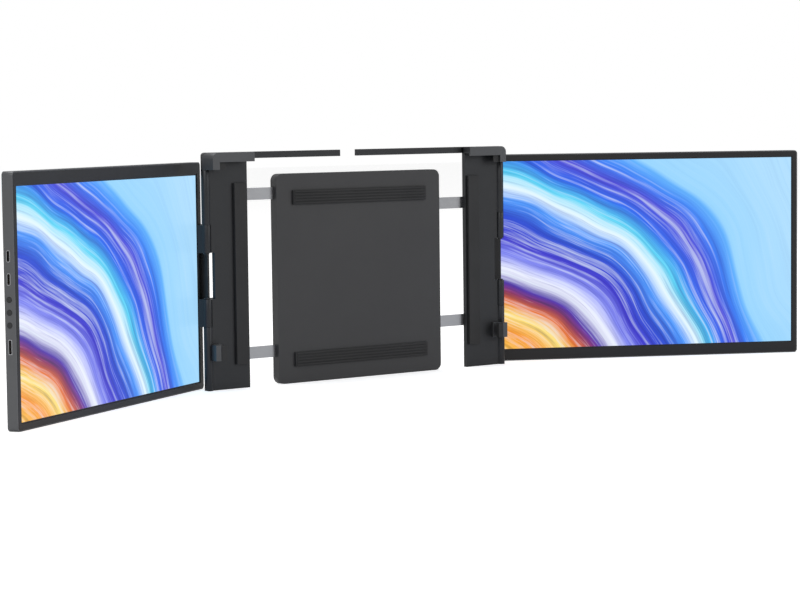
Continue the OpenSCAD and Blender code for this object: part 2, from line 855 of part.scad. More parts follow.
// The plastic guides that the bars run in
module slide_guides() {
    floor_y = frame_front + frame_floor;
    out = frame_half_w - frame_wall;
    color(film_white) for (side = [-1, 1], z = side < 0 ? left_bar_z : right_bar_z)
        difference() {
            x = side * (out - guide_l / 2);
            block([x - guide_l / 2, floor_y, z - bar_h / 2 - guide_margin],
                [x + guide_l / 2, frame_back, z + bar_h / 2 + guide_margin]);
            block([x - guide_l, bar_front - slip, z - bar_h / 2 - slip],
                [x + guide_l, bar_back + slip, z + bar_h / 2 + slip]);
        }
}

// Rubber strips behind the lid
module lid_pads() {
    strip_h = 12;
    inset = 14;
    reach = frame_half_w - inset - 2;
    color(rubber_black) for (z = [frame_low + inset, frame_high - inset - strip_h])
        block([-reach, lid_back, z], [reach, frame_front, z + strip_h]);
}

module kickstand() {
    front = cover_back + stand_gap;
    corner = 6;
    recess = 0.8;
    margin = 10;
    color(hook_grey) difference() {
        union() {
            along_y(front, front + stand_t) translate([-stand_w / 2, stand_low])
                rounded(stand_w, stand_top - stand_low, corner);
            along_x(-stand_w / 2, stand_w / 2) translate([stand_y, stand_top]) circle(stand_r);
        }
        along_y(front + stand_t - recess, front + stand_t + cut)
            translate([margin - stand_w / 2, stand_low + foot_h + margin])
                rounded(stand_w - 2 * margin, stand_top - stand_low - foot_h - 3 * margin, corner);
        for (side = [-1, 1]) {
            x = side * (stand_w / 2 - stand_pin_in / 2);
            along_x(x - stand_pin_in / 2 - cut, x + stand_pin_in / 2 + cut)
                translate([stand_y, stand_top]) circle(stand_pin_r + running);
        }
        block([-stand_w, front - cut, 0], [stand_w, front + stand_t + cut, stand_low + foot_h]);
    }
}

module kickstand_pins() {
    reach = stand_w / 2 + joint_gap * 4 + stand_lug_w;
    color(steel) for (side = [0, 1]) mirror([side, 0, 0])
        along_x(stand_w / 2 - stand_pin_in, reach) translate([stand_y, stand_top])
            circle(stand_pin_r);
}

module kickstand_foot() {
    front = cover_back + stand_gap;
    radius = 3;
    color(rubber_black) along_y(front, front + stand_t) difference() {
        translate([-stand_w / 2, stand_low]) rounded(stand_w, 2 * foot_h, radius);
        translate([-stand_w, stand_low + foot_h]) square([2 * stand_w, 2 * foot_h]);
    }
}

// ---- Both sides ----

// The left bracket half mirrors the right one
module left_side() {
    mirror([1, 0, 0]) children();
}
// The hinge arms turn with their monitors
module right_hinge() {
    translate([column_x, 0, 0]) rotate([0, 0, -right_rest]) children();
}
module left_hinge() {
    translate([-column_x, 0, 0]) rotate([0, 0, left_rest]) mirror([1, 0, 0]) children();
}

at_left() rear_cover();  // left_rear_cover
at_left() bezel();  // left_bezel
at_left() display_panel();  // left_display_panel
at_left() backlight();  // left_backlight
at_left() driver_board();  // left_driver_board
at_left() usb_c_ports();  // left_usb_c_ports
at_left() mini_hdmi_port();  // left_mini_hdmi_port
at_left() button(-1);  // left_power_button
at_left() button(0);  // left_up_button
at_left() button(1);  // left_down_button
at_left() button_switches();  // left_button_switches
at_left() panel_ribbon();  // left_panel_ribbon
at_left() case_screws();  // left_case_screws
left_hinge() hinge_arm(-left_overlap, left_front);  // left_hinge_arm
left_hinge() translate([-left_overlap, left_front, 0]) arm_screws();  // left_arm_screws
left_side() hinge_pins();  // left_hinge_pins
left_side() hinge_washers();  // left_hinge_washers
left_side() bracket(left_arm_end, left_bar_z);  // left_bracket
left_side() corner_hook();  // left_corner_hook
left_side() lower_clip();  // left_lower_clip
left_side() grip_pads();  // left_grip_pads
left_side() slide_bars(left_bar_z);  // left_slide_bars
left_side() bracket_screws(left_bar_z);  // left_bracket_screws
at_right() rear_cover();  // right_rear_cover
at_right() bezel();  // right_bezel
at_right() display_panel();  // right_display_panel
at_right() backlight();  // right_backlight
at_right() driver_board();  // right_driver_board
at_right() usb_c_ports();  // right_usb_c_ports
at_right() mini_hdmi_port();  // right_mini_hdmi_port
at_right() button(-1);  // right_power_button
at_right() button(0);  // right_up_button
at_right() button(1);  // right_down_button
at_right() button_switches();  // right_button_switches
at_right() panel_ribbon();  // right_panel_ribbon
at_right() case_screws();  // right_case_screws
right_hinge() hinge_arm(-right_overlap, right_front);  // right_hinge_arm
right_hinge() translate([-right_overlap, right_front, 0]) arm_screws();  // right_arm_screws
hinge_pins();  // right_hinge_pins
hinge_washers();  // right_hinge_washers
bracket(right_arm_end, right_bar_z);  // right_bracket
corner_hook();  // right_corner_hook
lower_clip();  // right_lower_clip
grip_pads();  // right_grip_pads
slide_bars(right_bar_z);  // right_slide_bars
bracket_screws(right_bar_z);  // right_bracket_screws
centre_frame();
centre_cover();
cover_screws();
slide_guides();
lid_pads();
kickstand();
kickstand_pins();
kickstand_foot();
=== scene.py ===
"""Looks of a laptop screen extender: two portable monitors hinged on a sliding bracket.

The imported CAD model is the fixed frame. This script dresses its nodes with procedural
finishes, adds the fine pieces that the solids leave out, and sets the studio round it.
Lengths are millimetres in the size classes and metres in the row frame.
"""

import logging
import math
from dataclasses import dataclass, field
from enum import Enum

import bpy
from mathutils import Matrix, Vector


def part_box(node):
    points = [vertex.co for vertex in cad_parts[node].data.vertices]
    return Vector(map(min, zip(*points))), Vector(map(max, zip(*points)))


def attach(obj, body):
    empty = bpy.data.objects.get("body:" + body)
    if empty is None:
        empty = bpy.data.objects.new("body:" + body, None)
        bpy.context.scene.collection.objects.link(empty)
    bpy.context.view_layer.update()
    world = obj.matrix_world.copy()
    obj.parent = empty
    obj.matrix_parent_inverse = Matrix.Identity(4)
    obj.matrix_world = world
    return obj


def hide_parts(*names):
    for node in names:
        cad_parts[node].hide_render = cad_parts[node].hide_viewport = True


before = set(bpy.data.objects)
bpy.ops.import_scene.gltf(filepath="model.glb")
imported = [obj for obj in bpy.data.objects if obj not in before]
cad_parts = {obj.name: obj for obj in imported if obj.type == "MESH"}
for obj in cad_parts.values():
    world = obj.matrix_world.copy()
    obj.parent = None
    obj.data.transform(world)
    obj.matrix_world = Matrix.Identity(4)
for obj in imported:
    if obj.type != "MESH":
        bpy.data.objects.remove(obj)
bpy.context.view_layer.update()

LOG = logging.getLogger("extender")
MM = 0.001

# Edges: corners of loose triangles that are one, faces that are one, edges that are broken
WELD_REACH = 0.002 * MM
FLAT_ANGLE = math.radians(0.5)
BROKEN_ANGLE = math.radians(50)
SMOOTH_ANGLE = math.radians(35)

# Painted edge highlight, a lighter colour along edges: its reach, how far the rounded normal leans,
# and how patchy it is
HIGHLIGHT_REACH = 0.45 * MM
HIGHLIGHT_STARTS = 0.98
HIGHLIGHT_FULL = 0.75
HIGHLIGHT_PATCHES = 1.4
HIGHLIGHT_EVERYWHERE = 0.2

# Grain: patches per metre, the brushing's stretch, the rubber's cells and the bump's depth
BROAD_PER_M = 38.0
SMUDGES_PER_M = 11.0
BRUSH_STRETCH = 0.02
CELL_SHARE = 0.6
BUMP_DEPTH = 0.05 * MM


class Side(Enum):
    """One half of the extender, with the sign of its X."""

    LEFT = -1
    RIGHT = 1

    @property
    def word(self) -> str:
        """The prefix of this side's nodes and bodies."""
        return self.name.lower()


class Grain(Enum):
    """The kinds of small relief that a finish can have."""

    FINE = "fine"
    BRUSHED = "brushed"
    RUBBER = "rubber"


def linear(red: int, green: int, blue: int) -> tuple[float, float, float, float]:
    """Turns a display colour into the linear one that shaders use.

    Args:
        red: Red from 0 to 255.
        green: Green from 0 to 255.
        blue: Blue from 0 to 255.

    Returns:
        The linear colour with full alpha.
    """

    def one(value: int) -> float:
        """One channel of the conversion."""
        share = value / 255
        return share / 12.92 if share <= 0.04045 else ((share + 0.055) / 1.055) ** 2.4

    return (one(red), one(green), one(blue), 1.0)


# ---------------------------------------------------------------- shader groups


def new_group(
    name: str, takes: dict[str, tuple[str, float]], gives: dict[str, str]
) -> tuple[bpy.types.NodeTree, bpy.types.Node, bpy.types.Node]:
    """Makes an empty shader group with named sockets.

    Args:
        name: The group's name.
        takes: Input names, each with its socket type and its default.
        gives: Output names, each with its socket type.

    Returns:
        The node tree, its input node and its output node.
    """
    tree = bpy.data.node_groups.new(name, "ShaderNodeTree")
    for label, (kind, default) in takes.items():
        socket = tree.interface.new_socket(label, in_out="INPUT", socket_type=kind)
        if kind == "NodeSocketFloat":
            socket.default_value = default
    for label, kind in gives.items():
        tree.interface.new_socket(label, in_out="OUTPUT", socket_type=kind)
    return tree, tree.nodes.new("NodeGroupInput"), tree.nodes.new("NodeGroupOutput")


def math_node(tree: bpy.types.NodeTree, operation: str, *values: object) -> bpy.types.NodeSocket:
    """Adds a Math node and feeds it.

    Args:
        tree: The node tree.
        operation: The Math operation.
        values: Sockets or numbers for the inputs, in order.

    Returns:
        The node's output socket.
    """
    node = tree.nodes.new("ShaderNodeMath")
    node.operation = operation
    for index, value in enumerate(values):
        if isinstance(value, bpy.types.NodeSocket):
            tree.links.new(value, node.inputs[index])
        else:
            node.inputs[index].default_value = value
    return node.outputs[0]


def mix_colour(
    tree: bpy.types.NodeTree, blend: str, share: object, first: object, second: object
) -> bpy.types.NodeSocket:
    """Adds a colour Mix node and feeds it.

    Args:
        tree: The node tree.
        blend: The blend type, such as MIX or MULTIPLY.
        share: Factor, a socket or a number.
        first: First colour, a socket or a colour.
        second: Second colour, a socket or a colour.

    Returns:
        The node's colour output.
    """
    node = tree.nodes.new("ShaderNodeMix")
    node.data_type = "RGBA"
    node.blend_type = blend
    for index, value in ((0, share), (6, first), (7, second)):
        if isinstance(value, bpy.types.NodeSocket):
            tree.links.new(value, node.inputs[index])
        else:
            node.inputs[index].default_value = value
    return node.outputs[2]


def noise_node(
    tree: bpy.types.NodeTree, vector: object, scale: object, detail: float, rough: float = 0.5
) -> bpy.types.NodeSocket:
    """Adds a Noise texture.

    Args:
        tree: The node tree.
        vector: The coordinates' socket.
        scale: Scale, a socket or a number.
        detail: Octaves.
        rough: Roughness of the octaves.

    Returns:
        The noise value, from 0 to 1.
    """
    node = tree.nodes.new("ShaderNodeTexNoise")
    tree.links.new(vector, node.inputs["Vector"])
    if isinstance(scale, bpy.types.NodeSocket):
        tree.links.new(scale, node.inputs["Scale"])
    else:
        node.inputs["Scale"].default_value = scale
    node.inputs["Detail"].default_value = detail
    node.inputs["Roughness"].default_value = rough
    return node.outputs["Fac"]


def edge_highlight_mask(tree: bpy.types.NodeTree, patchy: bpy.types.NodeSocket) -> bpy.types.NodeSocket:
    """Finds the edges, where a rounded normal leaves the surface's own, for a painted highlight that
    lightens the colour there.

    Args:
        tree: The node tree.
        patchy: A noise value that breaks the mask up.

    Returns:
        A mask, 0 on flat surfaces and up to 1 along the edges.
    """
    rounded = tree.nodes.new("ShaderNodeBevel")
    rounded.samples = 4
    rounded.inputs["Radius"].default_value = HIGHLIGHT_REACH
    shape = tree.nodes.new("ShaderNodeNewGeometry")
    match = tree.nodes.new("ShaderNodeVectorMath")
    match.operation = "DOT_PRODUCT"
    tree.links.new(rounded.outputs["Normal"], match.inputs[0])
    tree.links.new(shape.outputs["Normal"], match.inputs[1])
    edge = tree.nodes.new("ShaderNodeMapRange")
    tree.links.new(match.outputs["Value"], edge.inputs["Value"])
    edge.inputs["From Min"].default_value = HIGHLIGHT_STARTS
    edge.inputs["From Max"].default_value = HIGHLIGHT_FULL
    patches = math_node(tree, "MULTIPLY_ADD", patchy, HIGHLIGHT_PATCHES, HIGHLIGHT_EVERYWHERE)
    return math_node(tree, "MULTIPLY", edge.outputs["Result"], patches)


def grain_group(kind: Grain) -> bpy.types.NodeTree:
    """Builds the shared group that varies a finish over its surface and paints a highlight along its
    edges.

    Args:
        kind: The kind of relief.

    Returns:
        A group with a tone to multiply the colour by, lightened along the edges as a painted
        highlight, a roughness and a height.
    """
    name = f"{kind.value}_grain"
    if name in bpy.data.node_groups:
        return bpy.data.node_groups[name]
    number = "NodeSocketFloat"
    tree, source, target = new_group(
        name,
        {
            "Vector": ("NodeSocketVector", 0.0),
            "Scale": (number, 3000.0),
            "Tone Spread": (number, 0.1),
            "Roughness": (number, 0.5),
            "Roughness Spread": (number, 0.1),
            "Wear": (number, 0.1),
        },
        {"Tone": number, "Roughness": number, "Height": number},
    )
    stretch = tree.nodes.new("ShaderNodeMapping")
    along = BRUSH_STRETCH if kind is Grain.BRUSHED else 1
    stretch.inputs["Scale"].default_value = (along, 1, 1)
    tree.links.new(source.outputs["Vector"], stretch.inputs["Vector"])
    place = stretch.outputs["Vector"]
    fine = noise_node(tree, place, source.outputs["Scale"], 3.0, 0.6)
    if kind is Grain.RUBBER:
        cells = tree.nodes.new("ShaderNodeTexVoronoi")
        tree.links.new(place, cells.inputs["Vector"])
        tree.links.new(source.outputs["Scale"], cells.inputs["Scale"])
        fine = math_node(tree, "MULTIPLY_ADD", cells.outputs["Distance"], CELL_SHARE, fine)
    broad = noise_node(tree, source.outputs["Vector"], BROAD_PER_M, 4.0)
    smudge = noise_node(tree, source.outputs["Vector"], SMUDGES_PER_M, 5.0, 0.62)
    # painted highlight: the colour is lightened along the edges, in patches
    painted_highlight = math_node(tree, "MULTIPLY", edge_highlight_mask(tree, smudge), source.outputs["Wear"])
    centred = math_node(tree, "SUBTRACT", math_node(tree, "ADD", fine, broad), 1.0)
    tone = math_node(tree, "MULTIPLY_ADD", centred, source.outputs["Tone Spread"], 1.0)
    tree.links.new(math_node(tree, "ADD", tone, painted_highlight), target.inputs["Tone"])
    rough = math_node(tree, "MULTIPLY_ADD", math_node(tree, "SUBTRACT", smudge, 0.5),
                      source.outputs["Roughness Spread"], source.outputs["Roughness"])
    tree.links.new(rough, target.inputs["Roughness"])
    tree.links.new(fine, target.inputs["Height"])
    return tree


# ---------------------------------------------------------------- finishes


@dataclass(frozen=True)
class Finish:
    """One finish."""

    name: str
    colour: tuple[int, int, int]
    roughness: float = 0.5
    metallic: float = 0.0
    grain: Grain = Grain.FINE
    grain_per_m: float = 2400.0
    relief: float = 0.25
    tone_spread: float = 0.16
    rough_spread: float = 0.3
    # strength of the painted edge highlight that lightens the colour along edges
    wear: float = 0.6
    coat: float = 0.0
    specular: float = 0.5
    edge: float = 0.0
    slot: str = ""

    def material(self) -> bpy.types.Material:
        """Builds the material, or finds it if it is there.

        Returns:
            The material.
        """
        label = f"{self.name}_finish"
        if label in bpy.data.materials:
            return bpy.data.materials[label]
        made = bpy.data.materials.new(label)
        made.use_nodes = True
        tree = made.node_tree
        shader = tree.nodes["Principled BSDF"]
        shader.inputs["Metallic"].default_value = self.metallic
        shader.inputs["Coat Weight"].default_value = self.coat
        shader.inputs["Specular IOR Level"].default_value = self.specular
        where = tree.nodes.new("ShaderNodeTexCoord")
        group = tree.nodes.new("ShaderNodeGroup")
        group.node_tree = grain_group(self.grain)
        tree.links.new(where.outputs["Object"], group.inputs["Vector"])
        group.inputs["Scale"].default_value = self.grain_per_m
        group.inputs["Tone Spread"].default_value = self.tone_spread
        group.inputs["Roughness"].default_value = self.roughness
        group.inputs["Roughness Spread"].default_value = self.rough_spread
        group.inputs["Wear"].default_value = self.wear
        tone = tree.nodes.new("ShaderNodeCombineColor")
        for channel in ("Red", "Green", "Blue"):
            tree.links.new(group.outputs["Tone"], tone.inputs[channel])
        # the tone carries the painted edge highlight as well as the grain
        colour = mix_colour(tree, "MULTIPLY", 1.0, linear(*self.colour), tone.outputs["Color"])
        tree.links.new(colour, shader.inputs["Base Color"])
        tree.links.new(group.outputs["Roughness"], shader.inputs["Roughness"])
        bump = tree.nodes.new("ShaderNodeBump")
        bump.inputs["Strength"].default_value = self.relief
        bump.inputs["Distance"].default_value = BUMP_DEPTH
        tree.links.new(group.outputs["Height"], bump.inputs["Height"])
        tree.links.new(bump.outputs["Normal"], shader.inputs["Normal"])
        return made


SHELL_METAL = Finish("shell_metal", (92, 93, 95), 0.42, 0.85, grain_per_m=2600, edge=0.35)
BEZEL_PLASTIC = Finish(
    "bezel_plastic", (21, 21, 23), 0.42, grain_per_m=2200, relief=0.35, specular=0.35, edge=0.2)
LIGHT_TRAY = Finish("light_tray", (225, 226, 228), 0.5)
CIRCUIT_BOARD = Finish("circuit_board", (28, 84, 56), 0.35, coat=0.3)
BRIGHT_STEEL = Finish("bright_steel", (180, 181, 184), 0.3, 1.0, Grain.BRUSHED, 4200, wear=0.15)
BLACK_STEEL = Finish("black_steel", (48, 48, 50), 0.35, 0.8, Grain.BRUSHED, 4200, edge=0.12)
BUTTON_PLASTIC = Finish("button_plastic", (16, 17, 18), 0.45, grain_per_m=3200, edge=0.2)
BLACK_PLASTIC = Finish("black_plastic", (32, 32, 34), 0.5, grain_per_m=1500, relief=0.5, edge=0.4)
GUIDE_PLASTIC = Finish("guide_plastic", (214, 212, 206), 0.4, edge=0.1, wear=0.1)
RIBBON_FILM = Finish("ribbon_film", (168, 120, 52), 0.3, coat=0.4)
BRACKET_METAL = Finish("bracket_metal", (42, 43, 45), 0.4, 0.6, grain_per_m=2600, edge=0.4)
HOOK_METAL = Finish("hook_metal", (74, 75, 77), 0.42, 0.7, grain_per_m=2600, edge=0.4)
BAR_METAL = Finish("bar_metal", (150, 151, 154), 0.32, 1.0, Grain.BRUSHED, 3600, edge=0.3, wear=0.2)
GRIP_RUBBER = Finish(
    "grip_rubber", (22, 22, 23), 0.75, 0.0, Grain.RUBBER, 1400, relief=0.6, wear=0.3, edge=0.2)
TONGUE_PLASTIC = Finish("tongue_plastic", (20, 20, 22), 0.5, slot="black_plastic")
CONTACT_GOLD = Finish(
    "contact_gold", (212, 172, 96), 0.28, 1.0, Grain.BRUSHED, 4200, wear=0.1, slot="bright_steel")


@dataclass(frozen=True)
class Tongue:
    """The tongue in a socket, with a row of contacts on each face."""

    centre_z: float
    thick: float
    long: float
    contacts: int
    pitch: float
    contact_w: float


USB_C_TONGUE_LOW = Tongue(60.6, 0.7, 6.6, 12, 0.5, 0.27)
USB_C_TONGUE_HIGH = Tongue(77.2, 0.7, 6.6, 12, 0.5, 0.27)
MINI_HDMI_TONGUE = Tongue(125.9, 0.6, 8.2, 10, 0.76, 0.42)


@dataclass(frozen=True)
class ScreenFinish:
    """A lit display with a plain design of arched, brushed bands under matte glass.

    The first three sizes are millimetres. The design's own are in picture widths.
    """

    width: float = 276.4
    height: float = 171.8
    dark_border: float = 0.9
    arc_centre: tuple[float, float] = (-0.16, -0.34)
    bends: float = 1.7
    sway: float = 0.26
    folds: float = 7.0
    fold_sway: float = 11.0
    fold_light: float = 0.14
    streaks_across: float = 58.0
    streaks_along: float = 1.3
    streak_light: float = 3.0
    calm_from: float = 1.16
    calm_over: float = 0.08
    calm_rest: float = 0.12
    most_light: float = 0.8
    most_dark: float = 0.7
    light_tint: tuple[int, int, int] = (236, 246, 255)
    dark_tint: tuple[int, int, int] = (96, 96, 176)
    bands: tuple[tuple[float, tuple[int, int, int]], ...] = (
        (0.36, (255, 208, 84)),
        (0.43, (246, 150, 26)),
        (0.48, (255, 226, 120)),
        (0.52, (232, 112, 22)),
        (0.55, (150, 44, 84)),
        (0.58, (74, 34, 172)),
        (0.63, (236, 240, 255)),
        (0.68, (132, 140, 246)),
        (0.73, (52, 44, 206)),
        (0.80, (24, 74, 214)),
        (0.86, (70, 152, 252)),
        (0.90, (226, 246, 255)),
        (0.94, (84, 214, 246)),
        (0.99, (28, 104, 240)),
        (1.05, (70, 62, 214)),
        (1.10, (46, 124, 246)),
        (1.145, (92, 176, 252)),
        (1.16, (150, 212, 252)),
        (1.40, (172, 220, 252)),
    )

    def material(self, name: str, place: Matrix) -> bpy.types.Material:
        """Builds one display's material.

        Args:
            name: The material's name.
            place: Row frame from the picture's frame, x to the right and z up from its
                lower left corner.

        Returns:
            The material.
        """
        made = bpy.data.materials.new(name)
        made.use_nodes = True
        tree = made.node_tree
        shader = tree.nodes["Principled BSDF"]
        shader.inputs["Base Color"].default_value = (0.01, 0.01, 0.012, 1)
        shader.inputs["Roughness"].default_value = 0.35
        shader.inputs["Specular IOR Level"].default_value = 0.3
        shader.inputs["Emission Strength"].default_value = 1.0
        where = tree.nodes.new("ShaderNodeTexCoord")
        turn = tree.nodes.new("ShaderNodeMapping")
        turn.vector_type = "TEXTURE"
        turn.inputs["Location"].default_value = place.to_translation()
        turn.inputs["Rotation"].default_value = place.to_euler()
        turn.inputs["Scale"].default_value = (self.width * MM,) * 3
        tree.links.new(where.outputs["Object"], turn.inputs["Vector"])
        split = tree.nodes.new("ShaderNodeSeparateXYZ")
        tree.links.new(turn.outputs["Vector"], split.inputs["Vector"])
        across, up = split.outputs["X"], split.outputs["Z"]
        colour = self.silk(tree, turn.outputs["Vector"], across, up)
        lit = self.inside(tree, across, up)
        shown = mix_colour(tree, "MIX", lit, (0.004, 0.004, 0.005, 1), colour)
        tree.links.new(shown, shader.inputs["Emission Color"])
        return made

    def inside(
        self, tree: bpy.types.NodeTree, across: bpy.types.NodeSocket, up: bpy.types.NodeSocket
    ) -> bpy.types.NodeSocket:
        """The mask of the lit area, inside a thin dark border.

        Args:
            tree: The node tree.
            across: Place across the picture, in widths.
            up: Place up the picture, in widths.

        Returns:
            1 in the lit area and 0 in the border.
        """
        border = self.dark_border / self.width
        tall = self.height / self.width
        left = math_node(tree, "GREATER_THAN", across, border)
        right = math_node(tree, "LESS_THAN", across, 1 - border)
        low = math_node(tree, "GREATER_THAN", up, border)
        high = math_node(tree, "LESS_THAN", up, tall - border)
        sides = math_node(tree, "MULTIPLY", left, right)
        return math_node(tree, "MULTIPLY", sides, math_node(tree, "MULTIPLY", low, high))

    def silk(
        self, tree: bpy.types.NodeTree, vector: bpy.types.NodeSocket,
        across: bpy.types.NodeSocket, up: bpy.types.NodeSocket,
    ) -> bpy.types.NodeSocket:
        """The design: arcs round a centre below the corner, folded and brushed.

        Args:
            tree: The node tree.
            vector: The picture's coordinates, in widths.
            across: Place across the picture.
            up: Place up the picture.

        Returns:
            The colour.
        """
        east = math_node(tree, "SUBTRACT", across, self.arc_centre[0])
        north = math_node(tree, "SUBTRACT", up, self.arc_centre[1])
        bend = noise_node(tree, vector, self.bends, 2.0, 0.35)
        bend = math_node(tree, "SUBTRACT", bend, 0.5)
        east_square = math_node(tree, "MULTIPLY", east, east)
        north_square = math_node(tree, "MULTIPLY", north, north)
        square = math_node(tree, "ADD", east_square, north_square)
        radius = math_node(tree, "SQRT", square)
        arc = math_node(tree, "MULTIPLY_ADD", bend, self.sway, radius)
        angle = math_node(tree, "ARCTAN2", north, east)
        base = self.band_colour(tree, arc)
        along = tree.nodes.new("ShaderNodeCombineXYZ")
        tree.links.new(math_node(tree, "MULTIPLY", arc, self.streaks_across), along.inputs["X"])
        tree.links.new(math_node(tree, "MULTIPLY", angle, self.streaks_along), along.inputs["Y"])
        streak = noise_node(tree, along.outputs["Vector"], 1.0, 4.0, 0.68)
        swayed = math_node(tree, "MULTIPLY", bend, self.fold_sway)
        phase = math_node(tree, "MULTIPLY_ADD", arc, self.folds * math.tau, swayed)
        fold = math_node(tree, "SINE", phase)
        lift = math_node(tree, "MULTIPLY_ADD", streak, self.streak_light, -self.streak_light / 2)
        lift = math_node(tree, "MULTIPLY_ADD", fold, self.fold_light, lift)
        left = math_node(tree, "SUBTRACT", self.calm_from, arc)
        vivid = math_node(tree, "DIVIDE", left, self.calm_over)
        vivid = math_node(tree, "MAXIMUM", vivid, self.calm_rest)
        vivid = math_node(tree, "MINIMUM", vivid, 1.0)
        lift = math_node(tree, "MULTIPLY", lift, vivid)
        bright = math_node(tree, "MAXIMUM", lift, 0.0)
        bright = math_node(tree, "MINIMUM", bright, self.most_light)
        dark = math_node(tree, "MULTIPLY", lift, -1.0)
        dark = math_node(tree, "MAXIMUM", dark, 0.0)
        dark = math_node(tree, "MINIMUM", dark, self.most_dark)
        lighter = mix_colour(tree, "MIX", bright, base, linear(*self.light_tint))
        deeper = mix_colour(tree, "MULTIPLY", 1.0, base, linear(*self.dark_tint))
        return mix_colour(tree, "MIX", dark, lighter, deeper)

    def band_colour(self, tree: bpy.types.NodeTree, arc: bpy.types.NodeSocket) -> bpy.types.NodeSocket:
        """The bands' own colours, from the arc's radius.

        Args:
            tree: The node tree.
            arc: Swaying radius round the arcs' centre, in widths.

        Returns:
            The colour.
        """
        ramp = tree.nodes.new("ShaderNodeValToRGB")
        stops = ramp.color_ramp.elements
        low, high = self.bands[0][0], self.bands[-1][0]
        while len(stops) < len(self.bands):
            stops.new(0.5)
        for stop, (place, _) in zip(stops, self.bands):
            stop.position = (place - low) / (high - low)
        for stop, (_, colour) in zip(stops, self.bands):
            stop.color = linear(*colour)
        share = math_node(tree, "DIVIDE", math_node(tree, "SUBTRACT", arc, low), high - low)
        tree.links.new(share, ramp.inputs["Fac"])
        return ramp.outputs["Color"]


# ---------------------------------------------------------------- modelling helpers


def deselect() -> None:
    """Deselects every object, the CAD nodes among them."""
    bpy.ops.object.select_all(action="DESELECT")


def soft_block(name: str, low: Vector, high: Vector, bevel: float) -> bpy.types.Object:
    """Models a block with bevelled edges, by its corners.

    Args:
        name: The piece's name.
        low: Low corner in metres.
        high: High corner in metres.
        bevel: Width of the bevel in metres.

    Returns:
        The object, with its place in its mesh.
    """
    deselect()
    size = high - low
    bpy.ops.mesh.primitive_cube_add(size=1, location=(low + high) / 2, scale=size)
    piece = bpy.context.object
    piece.name = name
    bpy.ops.object.transform_apply(location=True, rotation=True, scale=True)
    bpy.ops.object.mode_set(mode="EDIT")
    bpy.ops.mesh.select_all(action="SELECT")
    bpy.ops.mesh.bevel(offset=bevel, segments=2, affect="EDGES")
    bpy.ops.object.mode_set(mode="OBJECT")
    return piece


def join(name: str, pieces: list[bpy.types.Object]) -> bpy.types.Object:
    """Joins pieces into one.

    Args:
        name: The joined piece's name.
        pieces: The pieces, at least one.

    Returns:
        The joined object.
    """
    deselect()
    for piece in pieces:
        piece.select_set(True)
    bpy.context.view_layer.objects.active = pieces[0]
    bpy.ops.object.join()
    pieces[0].name = name
    return pieces[0]


def finish_piece(piece: bpy.types.Object, place: Matrix, finish: Finish, body: str) -> None:
    """Puts a modelled piece in its place, gives it its finish and lets it ride.

    Args:
        piece: The piece, in its maker's own frame.
        place: Row frame from that frame.
        finish: The finish.
        body: The CAD body that it rides on.
    """
    piece.data.transform(place)
    piece.data.materials.clear()
    piece.data.materials.append(finish.material())
    deselect()
    piece.select_set(True)
    bpy.context.view_layer.objects.active = piece
    bpy.ops.object.shade_smooth_by_angle(angle=SMOOTH_ANGLE)
    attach(piece, body)
    LOG.info("piece %s on %s", piece.name, body)


def dress(node: str, finish: Finish) -> None:
    """Gives a CAD node its finish and breaks its sharp edges.

    Args:
        node: The node's name.
        finish: The finish.
    """
    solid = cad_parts[node]
    solid.data.materials.clear()
    solid.data.materials.append(finish.material())
    if finish.edge > 0:
        weld = solid.modifiers.new("weld", "WELD")
        weld.merge_threshold = WELD_REACH
        flat = solid.modifiers.new("whole_faces", "DECIMATE")
        flat.decimate_type = "DISSOLVE"
        flat.angle_limit = FLAT_ANGLE
        bevel = solid.modifiers.new("broken_edges", "BEVEL")
        bevel.width = finish.edge * MM
        bevel.segments = 2
        bevel.limit_method = "ANGLE"
        bevel.angle_limit = BROKEN_ANGLE
        bevel.use_clamp_overlap = True
        bevel.harden_normals = True
    LOG.info("dressed %s in %s", node, finish.name)


# ---------------------------------------------------------------- the monitors


